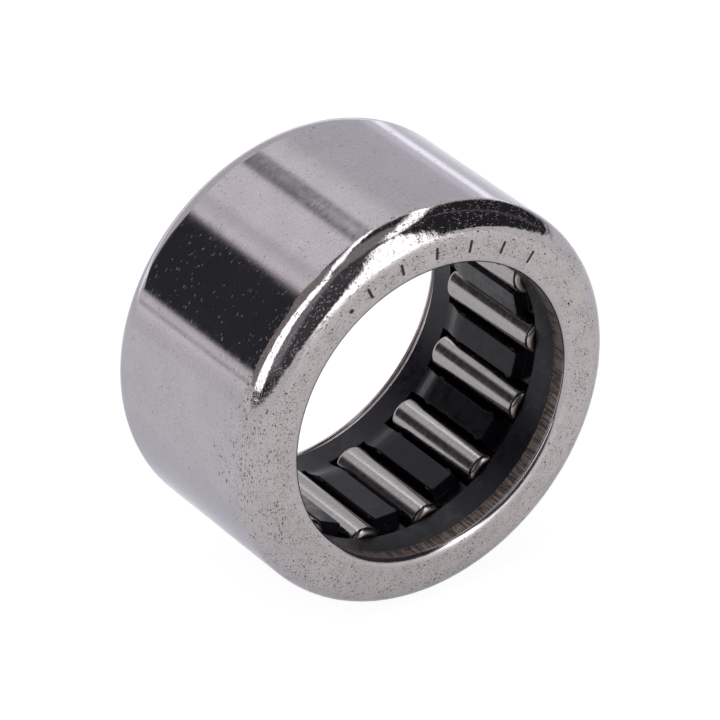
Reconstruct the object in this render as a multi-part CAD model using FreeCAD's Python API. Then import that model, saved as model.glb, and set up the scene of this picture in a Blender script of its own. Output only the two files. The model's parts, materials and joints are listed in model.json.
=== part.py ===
import FreeCAD, Part
import math
import os

# Needle roller bearing: a drawn steel cup, a moulded cage and a ring of loose
# needles that roll between the cup and the shaft.  Millimetres.
# The bearing's axis is Y, the marked face looks towards -Y, +Z is up and the
# origin is the middle of the bearing, on its axis.

# ---- overall sizes -------------------------------------------------------
SHAFT_DIAMETER = 15.0          # circle that the needles leave free for the shaft
CUP_WIDTH = 12.0               # face to face along the axis
CUP_WALL = 0.97                # sheet of the cup and of its drawn front lip

# ---- needles -------------------------------------------------------------
NEEDLE_COUNT = 14
NEEDLE_DIAMETER = 2.0
NEEDLE_END_RADIUS = 0.3        # rounding between the needle's side and its end
FIRST_NEEDLE_ANGLE = -1.0      # degrees from +X towards +Z
RACEWAY_CLEARANCE = 0.03       # needle to raceway, on the radius

# ---- cup -----------------------------------------------------------------
FRONT_LIP_CLEARANCE = 0.27     # shaft to the front lip's bore, on the radius
FRONT_INSIDE_RADIUS = 0.45     # inner rounding between the wall and the front lip
BACK_LIP_CLEARANCE = 0.94      # shaft to the back lip's bore, on the radius
BACK_INSIDE_RADIUS = 0.87      # inner rounding between the wall and the back lip
FOLD_THICKNESS = 0.5           # sheet thinned for the back lip, folded in after assembly
FOLD_STRAIGHT = 0.2            # thinned wall between the back rounding and the slope
BORE_EDGE_RADIUS = 0.2         # rounding of both lips at their bores

# ---- cage ----------------------------------------------------------------
CAGE_FRONT_CLEARANCE = 0.13    # cage to front lip, along the axis
CAGE_BACK_CLEARANCE = 0.5      # cage to back lip, along the axis
CAGE_WALL_CLEARANCE = 0.15     # cage to raceway, on the radius
CAGE_RING_CLEARANCE = 0.4      # shaft to the end rings' bore, on the radius
CAGE_BAR_CLEARANCE = 0.12      # shaft to the bars' flat tops
CAGE_EDGE_RADIUS = 0.25        # rounding of the cage's two outer edges
FRONT_RING_LENGTH = 1.54
BACK_RING_LENGTH = 1.4
POCKET_SIDE_CLEARANCE = 0.06   # pocket to needle, each side
POCKET_END_CLEARANCE = 0.08    # pocket to needle, each end
WEB_DROP = 0.45                # step from the end rings' bore down to the low web
WEB_LENGTH = 1.1               # low web between a bar's top and the front ring
RAMP_START = 0.32              # bare stretch between the back ring and the ramp
RAMP_LENGTH = 0.8              # slope from the back ring's bore up to the bar's top
NIB_REACH = 0.12               # how far a snap nib stands into the pocket
NIB_HEIGHT = 0.2               # nib along the radius
NIB_LENGTH = 0.45              # nib along the bar
NIB_INSET = 0.12               # from the ends of the bar's top to its nibs

# ---- marks on the front face --------------------------------------------
MARK_DEPTH = 0.05
TICK_COUNT = 6
TICK_LENGTH = 0.62
TICK_WIDTH = 0.14
TICK_SPACING = 13.0            # degrees between neighbouring ticks
MARK_MIDDLE_ANGLE = 83.0       # degrees from +X towards +Z
DOT_DIAMETER = 0.24
DOT_SPACING = 8.0              # degrees from the first tick to the dot

# ---- worked-out sizes ----------------------------------------------------
HALF_WIDTH = CUP_WIDTH / 2
SHAFT_RADIUS = SHAFT_DIAMETER / 2
NEEDLE_RADIUS = NEEDLE_DIAMETER / 2
PITCH_RADIUS = SHAFT_RADIUS + NEEDLE_RADIUS
RACEWAY_RADIUS = PITCH_RADIUS + NEEDLE_RADIUS + RACEWAY_CLEARANCE
CUP_RADIUS = RACEWAY_RADIUS + CUP_WALL
FRONT_LIP_BORE_RADIUS = SHAFT_RADIUS + FRONT_LIP_CLEARANCE
FRONT_CORNER_RADIUS = FRONT_INSIDE_RADIUS + CUP_WALL
BACK_LIP_BORE_RADIUS = SHAFT_RADIUS + BACK_LIP_CLEARANCE
BACK_CORNER_RADIUS = BACK_INSIDE_RADIUS + FOLD_THICKNESS
FRONT_LIP_INSIDE = -HALF_WIDTH + CUP_WALL
BACK_LIP_INSIDE = HALF_WIDTH - FOLD_THICKNESS
MARK_RADIUS = (FRONT_LIP_BORE_RADIUS + BORE_EDGE_RADIUS + CUP_RADIUS - FRONT_CORNER_RADIUS) / 2

CAGE_OUTER_RADIUS = RACEWAY_RADIUS - CAGE_WALL_CLEARANCE
CAGE_RING_RADIUS = SHAFT_RADIUS + CAGE_RING_CLEARANCE
CAGE_BAR_RADIUS = SHAFT_RADIUS + CAGE_BAR_CLEARANCE
CAGE_WEB_RADIUS = CAGE_RING_RADIUS + WEB_DROP
CAGE_FRONT = FRONT_LIP_INSIDE + CAGE_FRONT_CLEARANCE
CAGE_BACK = BACK_LIP_INSIDE - CAGE_BACK_CLEARANCE
POCKET_FRONT = CAGE_FRONT + FRONT_RING_LENGTH
POCKET_BACK = CAGE_BACK - BACK_RING_LENGTH
POCKET_WIDTH = NEEDLE_DIAMETER + 2 * POCKET_SIDE_CLEARANCE
NEEDLE_FRONT = POCKET_FRONT + POCKET_END_CLEARANCE
NEEDLE_LENGTH = POCKET_BACK - POCKET_END_CLEARANCE - NEEDLE_FRONT
NEEDLE_PITCH = 360.0 / NEEDLE_COUNT
BAR_TOP_FRONT = POCKET_FRONT + WEB_LENGTH
RAMP_FOOT = POCKET_BACK - RAMP_START
BAR_TOP_BACK = RAMP_FOOT - RAMP_LENGTH

AXIS_START = FreeCAD.Vector(0, 0, 0)
AXIS = FreeCAD.Vector(0, 1, 0)


def point(radius, along):
    return FreeCAD.Vector(radius, along, 0)


def corner(start, end, centre):
    """Quarter-circle edge from start to end about centre, on the short side."""
    radius = math.hypot(start[0] - centre[0], start[1] - centre[1])
    middle = ((start[0] + end[0]) / 2 - centre[0], (start[1] + end[1]) / 2 - centre[1])
    reach = radius / math.hypot(*middle)
    through = (centre[0] + middle[0] * reach, centre[1] + middle[1] * reach)
    return Part.Arc(point(*start), point(*through), point(*end)).toShape()


def outline(corners):
    """Closed wire through (radius, along, rounding) corners; the turns are all square if rounded."""
    rounded = []
    count = len(corners)
    for i, (radius, along, rounding) in enumerate(corners):
        here = FreeCAD.Vector(radius, along, 0)
        before = point(*corners[i - 1][:2])
        after = point(*corners[(i + 1) % count][:2])
        back = (before - here).normalize() * rounding
        ahead = (after - here).normalize() * rounding
        rounded.append((here + back, here + ahead, here + back + ahead, rounding))
    edges = []
    for i, (start, end, centre, rounding) in enumerate(rounded):
        if rounding:
            edges.append(corner(start[:2], end[:2], centre[:2]))
        following = rounded[(i + 1) % count][0]
        edges.append(Part.LineSegment(end, following).toShape())
    return Part.Wire(edges)


def revolve(corners):
    """Solid of revolution about the bearing's axis."""
    return Part.Face(outline(corners)).revolve(AXIS_START, AXIS, 360)


def turn(shape, degrees):
    """Copy turned about the axis; positive goes from +X towards +Z."""
    copy = shape.copy()
    copy.rotate(AXIS_START, AXIS, -degrees)
    return copy


def block(radius_low, radius_high, front, back, width):
    """Box that stands on the +X side of the axis, its width along Z."""
    corner_point = FreeCAD.Vector(radius_low, front, -width / 2)
    return Part.makeBox(radius_high - radius_low, back - front, width, corner_point)


def make_cup():
    """Drawn cup: thick wall and front lip, back lip thinned and folded in."""
    fold_radius = CUP_RADIUS - FOLD_THICKNESS
    slope_back = BACK_LIP_INSIDE - BACK_INSIDE_RADIUS - FOLD_STRAIGHT
    slope_front = slope_back - (fold_radius - RACEWAY_RADIUS)
    cup = revolve([
        (FRONT_LIP_BORE_RADIUS, FRONT_LIP_INSIDE, 0),
        (FRONT_LIP_BORE_RADIUS, -HALF_WIDTH, BORE_EDGE_RADIUS),
        (CUP_RADIUS, -HALF_WIDTH, FRONT_CORNER_RADIUS),
        (CUP_RADIUS, HALF_WIDTH, BACK_CORNER_RADIUS),
        (BACK_LIP_BORE_RADIUS, HALF_WIDTH, BORE_EDGE_RADIUS),
        (BACK_LIP_BORE_RADIUS, BACK_LIP_INSIDE, 0),
        (fold_radius, BACK_LIP_INSIDE, BACK_INSIDE_RADIUS),
        (fold_radius, slope_back, 0),
        (RACEWAY_RADIUS, slope_front, 0),
        (RACEWAY_RADIUS, FRONT_LIP_INSIDE, FRONT_INSIDE_RADIUS),
    ])
    return cup.cut(Part.makeCompound(make_marks()))


def make_marks():
    """Cutters for the shallow ticks and the dot on the front face."""
    floor = -HALF_WIDTH + MARK_DEPTH
    outside = -HALF_WIDTH - MARK_DEPTH
    start = MARK_MIDDLE_ANGLE + TICK_SPACING * (TICK_COUNT - 1) / 2
    tick = block(MARK_RADIUS - TICK_LENGTH / 2, MARK_RADIUS + TICK_LENGTH / 2,
                 outside, floor, TICK_WIDTH)
    dot = Part.makeCylinder(DOT_DIAMETER / 2, floor - outside, point(MARK_RADIUS, outside), AXIS)
    marks = [turn(tick, start - TICK_SPACING * i) for i in range(TICK_COUNT)]
    marks.append(turn(dot, start + DOT_SPACING))
    return marks


def make_cage():
    """One-piece cage: two end rings joined by flat-topped bars, a pocket for each needle."""
    ring = revolve([
        (CAGE_OUTER_RADIUS, CAGE_FRONT, CAGE_EDGE_RADIUS),
        (CAGE_OUTER_RADIUS, CAGE_BACK, CAGE_EDGE_RADIUS),
        (CAGE_RING_RADIUS, CAGE_BACK, 0),
        (CAGE_RING_RADIUS, RAMP_FOOT, 0),
        (CAGE_WEB_RADIUS, RAMP_FOOT, 0),
        (CAGE_WEB_RADIUS, POCKET_FRONT, 0),
        (CAGE_RING_RADIUS, POCKET_FRONT, 0),
        (CAGE_RING_RADIUS, CAGE_FRONT, 0),
    ])
    bar = make_bar_top()
    pocket = block(PITCH_RADIUS - NEEDLE_DIAMETER, PITCH_RADIUS + NEEDLE_DIAMETER,
                   POCKET_FRONT, POCKET_BACK, POCKET_WIDTH)
    pocket_angles = [FIRST_NEEDLE_ANGLE + NEEDLE_PITCH * i for i in range(NEEDLE_COUNT)]
    bars = [turn(bar, angle + NEEDLE_PITCH / 2) for angle in pocket_angles]
    pockets = [turn(pocket, angle) for angle in pocket_angles]
    nibs = [turn(nib, angle) for angle in pocket_angles for nib in make_nibs()]
    return ring.fuse(bars).cut(Part.makeCompound(pockets)).fuse(nibs).removeSplitter()


def make_bar_top():
    """Flat-topped bar on the +X side, sloping down to the back ring; the pockets trim its sides."""
    half = CAGE_BAR_RADIUS * math.tan(math.radians(NEEDLE_PITCH / 2))
    side = Part.Face(outline([
        (CAGE_BAR_RADIUS, BAR_TOP_FRONT, 0),
        (CAGE_BAR_RADIUS, BAR_TOP_BACK, 0),
        (CAGE_RING_RADIUS, RAMP_FOOT, 0),
        (CAGE_OUTER_RADIUS, RAMP_FOOT, 0),
        (CAGE_OUTER_RADIUS, BAR_TOP_FRONT, 0),
    ]))
    side.translate(FreeCAD.Vector(0, 0, -half))
    bar = side.extrude(FreeCAD.Vector(0, 0, 2 * half))
    rim = Part.makeCylinder(CAGE_OUTER_RADIUS, CUP_WIDTH, point(0, -HALF_WIDTH), AXIS)
    return bar.common(rim)


def make_nibs():
    """Four snap nibs in the pocket on the +X side: they keep the needle from falling inwards."""
    low = CAGE_BAR_RADIUS
    high = CAGE_BAR_RADIUS + NIB_HEIGHT
    wall = POCKET_WIDTH / 2
    nibs = []
    for start in (BAR_TOP_FRONT + NIB_INSET, BAR_TOP_BACK - NIB_INSET - NIB_LENGTH):
        for side in (-1, 1):
            profile = [(low, wall + NIB_REACH), (low, wall - NIB_REACH),
                       (high, wall), (high, wall + NIB_REACH)]
            points = [FreeCAD.Vector(radius, start, side * across) for radius, across in profile]
            face = Part.Face(Part.makePolygon(points + points[:1]))
            nibs.append(face.extrude(FreeCAD.Vector(0, NIB_LENGTH, 0)))
    return nibs


def make_needle():
    """Needle on the +X side of the axis, with rounded ends."""
    start = point(PITCH_RADIUS, NEEDLE_FRONT)
    rod = Part.makeCylinder(NEEDLE_RADIUS, NEEDLE_LENGTH, start, AXIS)
    rims = [edge for edge in rod.Edges if isinstance(edge.Curve, Part.Circle)]
    return rod.makeFillet(NEEDLE_END_RADIUS, rims)


def main():
    os.makedirs("parts", exist_ok=True)
    make_cup().exportStep("parts/drawn_cup.step")
    make_cage().exportStep("parts/needle_cage.step")
    needle = make_needle()
    for i in range(NEEDLE_COUNT):
        placed = turn(needle, FIRST_NEEDLE_ANGLE + NEEDLE_PITCH * i)
        placed.exportStep("parts/needle_%02d.step" % (i + 1))


main()
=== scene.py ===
# Looks of a drawn-cup needle roller bearing: the steel cup, the black moulded cage
# and the ring of bright needles, with the studio that they stand in.
import json
import math
import random

import bmesh
import bpy
import numpy as np
from bpy.props import FloatProperty, FloatVectorProperty, IntProperty, PointerProperty
from mathutils import Matrix, Vector, noise


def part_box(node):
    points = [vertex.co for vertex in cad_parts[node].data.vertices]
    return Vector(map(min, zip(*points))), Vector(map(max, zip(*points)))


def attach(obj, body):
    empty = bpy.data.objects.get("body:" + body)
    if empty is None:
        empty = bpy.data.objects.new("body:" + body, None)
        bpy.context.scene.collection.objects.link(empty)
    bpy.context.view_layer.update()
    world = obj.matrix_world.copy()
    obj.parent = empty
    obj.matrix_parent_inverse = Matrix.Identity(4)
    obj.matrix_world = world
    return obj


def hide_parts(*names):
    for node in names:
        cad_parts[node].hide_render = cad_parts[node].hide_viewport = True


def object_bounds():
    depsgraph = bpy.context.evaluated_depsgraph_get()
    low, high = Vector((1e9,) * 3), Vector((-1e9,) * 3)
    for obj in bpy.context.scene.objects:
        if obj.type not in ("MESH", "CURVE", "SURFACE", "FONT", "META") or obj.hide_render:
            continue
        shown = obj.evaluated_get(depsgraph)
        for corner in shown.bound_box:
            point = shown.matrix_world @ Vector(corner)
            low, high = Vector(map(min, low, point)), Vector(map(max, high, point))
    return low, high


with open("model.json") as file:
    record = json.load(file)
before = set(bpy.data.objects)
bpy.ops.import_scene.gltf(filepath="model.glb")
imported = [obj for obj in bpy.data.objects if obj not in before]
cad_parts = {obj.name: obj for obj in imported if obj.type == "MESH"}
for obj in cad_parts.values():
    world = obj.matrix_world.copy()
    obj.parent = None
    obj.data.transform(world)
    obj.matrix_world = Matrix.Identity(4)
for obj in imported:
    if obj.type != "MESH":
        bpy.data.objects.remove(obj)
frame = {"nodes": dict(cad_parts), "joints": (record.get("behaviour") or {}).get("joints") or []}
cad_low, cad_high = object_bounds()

bl_info = {
    "name": "Needle Roller Bearing",
    "version": (1, 0, 0),
    "blender": (4, 5, 0),
    "location": "3D View > Sidebar > Bearing",
    "description": "Builds a drawn-cup needle roller bearing and the studio it stands in",
    "category": "Object",
}

MM = 0.001
HAIR = 1e-7                    # places nearer than this count as the same height
CUP_WALL = 0.97 * MM           # thickness of the wall between raceway and outside
CUP_SEGMENTS, NEEDLE_SEGMENTS = 900, 96
LATHE_MERGE, CAGE_MERGE = 1e-8, 2e-7
SHARP_ANGLE = math.radians(35)  # moulded edges sharper than this are rounded
CRUMB_SEED = 12


# ---- sizes read from the frame ---------------------------------------------

def ring_points(node):
    """Radius and place along the axis of every corner of a CAD node."""
    points = np.array([v.co for v in frame["nodes"][node].data.vertices])
    return np.hypot(points[:, 0], points[:, 2]), points[:, 1]


def bore_between(node, front, back):
    """Smallest radius of a node's corners between two places along the axis."""
    radius, along = ring_points(node)
    return float(radius[(along > front) & (along < back)].min())


def cup_sizes():
    """The cup's own radii and places along the axis."""
    radius, along = ring_points("drawn_cup")
    edge = 0.01 * MM
    outer = float(radius.max())
    straight = along[radius > outer - edge]
    front_bore = bore_between("drawn_cup", along.min() - edge, along.min() + 0.6 * MM)
    back_bore = bore_between("drawn_cup", along.max() - 0.4 * MM, along.max() + edge)
    near_front = (radius < front_bore + edge) & (along < 0)
    near_back = (radius < back_bore + edge) & (along > 0)
    return {
        "outer": outer,
        "front": float(along.min()),
        "back": float(along.max()),
        "front_corner": float(straight.min() - along.min()),
        "back_corner": float(along.max() - straight.max()),
        "front_bore": front_bore,
        "back_bore": back_bore,
        "front_inside": float(along[near_front].max()),
        "back_inside": float(along[near_back].min()),
        "raceway": outer - CUP_WALL,
    }


def needle_sizes():
    """Length, radius and circle of the needles, and each one's angle round the axis."""
    low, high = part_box("needle_01")
    places = [j["pos_m"] for j in frame["joints"] if j["name"].startswith("needle_")]
    return {
        "front": low.y,
        "back": high.y,
        "radius": (high.x - low.x) / 2,
        "circle": math.hypot(places[0][0], places[0][2]),
        "angles": [math.atan2(place[2], place[0]) for place in places],
    }


CUP = cup_sizes()
NEEDLE = needle_sizes()
CAGE_FRONT, CAGE_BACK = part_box("needle_cage")[0].y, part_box("needle_cage")[1].y
CAGE_OUTER = float(ring_points("needle_cage")[0].max())
CAGE_BORE = bore_between("needle_cage", CAGE_FRONT - MM, CAGE_FRONT + 0.2 * MM)
FLOOR = cad_low.z


# ---- settings ---------------------------------------------------------------

def length(name, value, description):
    return FloatProperty(name=name, default=value, min=0, unit="LENGTH", precision=5,
                         description=description)


def share(name, value, description):
    return FloatProperty(name=name, default=value, min=0, max=1, subtype="FACTOR",
                         description=description)


def tint(name, value, description):
    return FloatVectorProperty(name=name, default=value, min=0, max=1, subtype="COLOR", size=3,
                               description=description)


def turn(name, degrees, description):
    return FloatProperty(name=name, default=math.radians(degrees), subtype="ANGLE",
                         description=description)


class CupSettings(bpy.types.PropertyGroup):
    side_colour: tint("Side", (0.385, 0.362, 0.383), "Ground outside of the cup")
    corner_colour: tint("Corner", (0.392, 0.367, 0.374), "Drawn front corner of the cup")
    face_colour: tint("Face", (0.413, 0.380, 0.381), "Unpolished faces of the cup")
    edge_tint: tint("Grazing tint", (0.80, 0.81, 0.86), "What the steel gives back at grazing angles")
    sheared_colour: tint("Sheared edge", (0.27, 0.228, 0.210), "Torn metal in the front lip's bore")
    # This colour also paints a band on the back lip's bore dark, as a painted dark reflection; that metal
    # is not torn.
    furrow_and_painted_reflection_colour: tint("Furrows", (0.085, 0.062, 0.050), "Bottoms of the torn metal's furrows")
    pit_colour: tint("Pits", (0.045, 0.032, 0.028), "Bottoms of the pits and marks")
    side_roughness: share("Side roughness", 0.06, "Roughness of the ground outside")
    corner_roughness: share("Corner roughness", 0.07, "Roughness of the drawn corner")
    face_roughness: share("Face roughness", 0.30, "Roughness of the faces")
    sheared_width: length("Sheared width", 0.66 * MM, "Torn part of the front lip's bore")
    sheared_depth: length("Sheared depth", 0.030 * MM, "Depth of the torn metal's furrows")
    corner_wobble: length("Corner wobble", 0.010 * MM, "Unevenness of the drawn corner")
    burr: length("Burr", 0.016 * MM, "Burr at the torn metal's inner edge")
    roll_width: length("Roll-over width", 0.44 * MM, "Bend from the face into the bore, along the face")
    roll_depth: length("Roll-over depth", 0.22 * MM, "Bend from the face into the bore, along the axis")
    dent_depth: length("Dent", 0.010 * MM, "Small dent on the front corner")
    scribe_depth: length("Scribed line", 0.010 * MM, "Fine line round the front corner")
    tick_count: IntProperty(name="Ticks", default=6, min=0, description="Number of plain ticks")
    tick_length: length("Tick length", 0.62 * MM, "Length of a tick along the radius")
    tick_width: length("Tick width", 0.14 * MM, "Width of a tick")
    tick_depth: length("Tick depth", 0.05 * MM, "Depth of the ticks and the dot")
    dot_size: length("Dot", 0.24 * MM, "Diameter of the dot")
    tick_spacing: turn("Tick spacing", 13, "Angle between neighbouring ticks")
    dot_spacing: turn("Dot spacing", 8, "Angle from the first tick to the dot")
    tick_middle: turn("Ticks' middle", 83, "Angle of the middle of the ticks, from +X to +Z")


class CageSettings(bpy.types.PropertyGroup):
    colour: tint("Plastic", (0.0045, 0.0044, 0.0072), "Black moulded plastic")
    gloss_tint: tint("Gloss tint", (0.88, 0.86, 1.0), "Tint of the plastic's gloss")
    dust_colour: tint("Dust", (0.42, 0.42, 0.44), "Dust and scuffs on the plastic")
    roughness: share("Roughness", 0.30, "Roughness of the plastic")
    pocket_side: length("Pocket side", 0.06 * MM, "Room beside a needle")
    pocket_end: length("Pocket end", 0.08 * MM, "Room before a needle's end")
    bar_rise: length("Bar rise", 0.28 * MM, "Bars' tops above the end rings' bore")
    web_drop: length("Web drop", 0.45 * MM, "Low web below the end rings' bore")
    web_length: length("Web length", 1.1 * MM, "Low web in front of a bar's top")
    ramp_start: length("Ramp start", 0.32 * MM, "Bare stretch behind the ramp")
    ramp_length: length("Ramp length", 0.8 * MM, "Slope at the back of a bar")
    outer_edge: length("Outer edge", 0.25 * MM, "Rounding of the two outer edges")
    edge_rounding: length("Edge rounding", 0.035 * MM, "Rounding of the moulded edges")
    nib_reach: length("Nib reach", 0.10 * MM, "Snap nibs' reach into the pockets")
    nib_height: length("Nib height", 0.2 * MM, "Snap nibs' height along the radius")
    nib_length: length("Nib length", 0.45 * MM, "Snap nibs' length along a bar")
    nib_inset: length("Nib inset", 0.12 * MM, "From a bar's ends to its nibs")
    crumb_size: length("Flash", 0.045 * MM, "Size of the crumbs of flash at the pockets")
    crumb_count: IntProperty(name="Crumbs", default=5, min=0, description="Crumbs at each pocket")


class NeedleSettings(bpy.types.PropertyGroup):
    # Steel is the needles' own tone, lowered as painted shade for the darker surroundings that they
    # reflect inside the cup.
    colour: tint("Steel", (0.345, 0.328, 0.326), "Fine-ground bearing steel")
    # End is the ends' rougher brownish steel, also painted darker as a painted dark reflection of the
    # cage.
    end_and_painted_reflection_colour: tint("End", (0.17, 0.138, 0.125), "Rougher steel of the needles' ends")
    speck_colour: tint("Specks", (0.06, 0.045, 0.04), "Dark specks on the needles")
    edge_tint: tint("Grazing tint", (0.85, 0.83, 0.83), "What the steel gives back at grazing angles")
    roughness: share("Roughness", 0.17, "Roughness along the needles")
    end_rounding: length("End rounding", 0.3 * MM, "Rounding between side and end")
    end_dish: length("End dish", 0.02 * MM, "Hollow in the middle of an end")


class StudioSettings(bpy.types.PropertyGroup):
    view_turn: turn("Camera turn", -35.20, "Camera's place round the bearing, 0 looks along +Y")
    view_height: turn("Camera height", 31.21, "Camera's elevation above the horizon")
    view_distance: length("Camera distance", 268.56 * MM, "Camera to the bearing's middle")
    lens: FloatProperty(name="Lens", default=280.4, min=1, description="Focal length on a 36 mm frame")
    shift_x: FloatProperty(name="Shift X", default=-0.0020, description="Sideways framing")
    shift_y: FloatProperty(name="Shift Y", default=-0.0008, description="Upright framing")
    floor_size: length("Floor", 0.13, "Width of the white table")
    floor_glow: FloatProperty(name="Floor glow", default=0.38, description="Even light of the table")
    floor_colour: tint("Floor colour", (0.80, 0.80, 0.80), "What the table gives back of the light")
    floor_white: share("Floor white", 0.8, "How far the table is washed out to plain white")
    light: FloatProperty(name="Light", default=1.0, description="Brightness of the whole studio")


# ---- meshes -----------------------------------------------------------------

def finish_object(name, mesh):
    made = bpy.data.objects.new(name, mesh)
    bpy.context.scene.collection.objects.link(made)
    return made


def mesh_from(bm, name):
    mesh = bpy.data.meshes.new(name)
    bm.to_mesh(mesh)
    bm.free()
    return mesh


def fillet(corner, before, after, rounding, steps):
    """Points of the arc that rounds a corner, with one held point beyond each end."""
    here, a, b = Vector(corner), Vector(before), Vector(after)
    back, ahead = (a - here).normalized(), (b - here).normalized()
    half = back.angle(ahead) / 2
    reach = rounding / math.tan(half)
    centre = here + (back + ahead).normalized() * (rounding / math.sin(half))
    start, end = here + back * reach - centre, here + ahead * reach - centre
    arc = [centre + start.normalized().slerp(end.normalized(), i / steps) * rounding
           for i in range(steps + 1)]
    hold = min(0.03 * MM, rounding * 0.4)
    first = arc[0] + back * min(hold, 0.4 * max((a - here).length - reach, 0))
    last = arc[-1] + ahead * min(hold, 0.4 * max((b - here).length - reach, 0))
    return [first] + arc + [last]


def round_outline(corners, closed=True):
    """(radius, along) points through corners of (radius, along) or (radius, along, rounding, steps)."""
    points = []
    count = len(corners)
    for i, corner in enumerate(corners):
        radius, along, rounding, steps = (*corner, 0, 0)[:4]
        ends = not closed and i in (0, count - 1)
        if rounding and not ends:
            before, after = corners[i - 1][:2], corners[(i + 1) % count][:2]
            points += [tuple(p) for p in fillet((radius, along), before, after, rounding, steps)]
        else:
            points.append((radius, along))
    return points


def lathe(name, outline, segments, shape=None, closed=True):
    """Mesh turned about the Y axis; shape(radius, along, angle) may move each point."""
    verts, faces = [], []
    rows = len(outline)
    for j in range(segments):
        angle = math.tau * j / segments
        c, s = math.cos(angle), math.sin(angle)
        for radius, along in outline:
            if shape:
                radius, along = shape(radius, along, angle)
            verts.append((radius * c, along, radius * s))
    for j in range(segments):
        here, there = j * rows, (j + 1) % segments * rows
        for i in range(rows if closed else rows - 1):
            k = (i + 1) % rows
            faces.append((here + i, here + k, there + k, there + i))
    mesh = bpy.data.meshes.new(name)
    mesh.from_pydata(verts, [], faces)
    bm = bmesh.new()
    bm.from_mesh(mesh)
    bmesh.ops.remove_doubles(bm, verts=bm.verts, dist=LATHE_MERGE)
    bmesh.ops.recalc_face_normals(bm, faces=bm.faces)
    bm.to_mesh(mesh)
    bm.free()
    mesh.shade_smooth()
    return mesh


def ramp(value, low, high):
    """0 below low, 1 above high and smooth between them."""
    t = min(max((value - low) / (high - low), 0.0), 1.0)
    return t * t * (3 - 2 * t)


def grain_at(angle, radius, along, size, stretch=1.0):
    """Signed noise on the ring's surface, with features of that size."""
    return noise.noise(Vector((radius * math.cos(angle) / size, along / (size * stretch),
                               radius * math.sin(angle) / size)))


def mark_depth(settings, radius, angle, middle):
    """How deep the ticks and the dot are at a point of the front face, 0 to 1."""
    first = settings.tick_middle + settings.tick_spacing * (settings.tick_count - 1) / 2
    deepest = 0.0
    for i in range(settings.tick_count):
        across = abs(math.remainder(angle - first + settings.tick_spacing * i, math.tau)) * radius
        inside = 1 - ramp(across, 0.30 * settings.tick_width, 0.62 * settings.tick_width)
        reach = abs(radius - middle)
        inside *= 1 - ramp(reach, 0.46 * settings.tick_length, 0.54 * settings.tick_length)
        deepest = max(deepest, inside)
    across = math.remainder(angle - first - settings.dot_spacing, math.tau) * radius
    away = math.hypot(across, radius - middle)
    return max(deepest, 1 - ramp(away, 0.3 * settings.dot_size, 0.6 * settings.dot_size))


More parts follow.
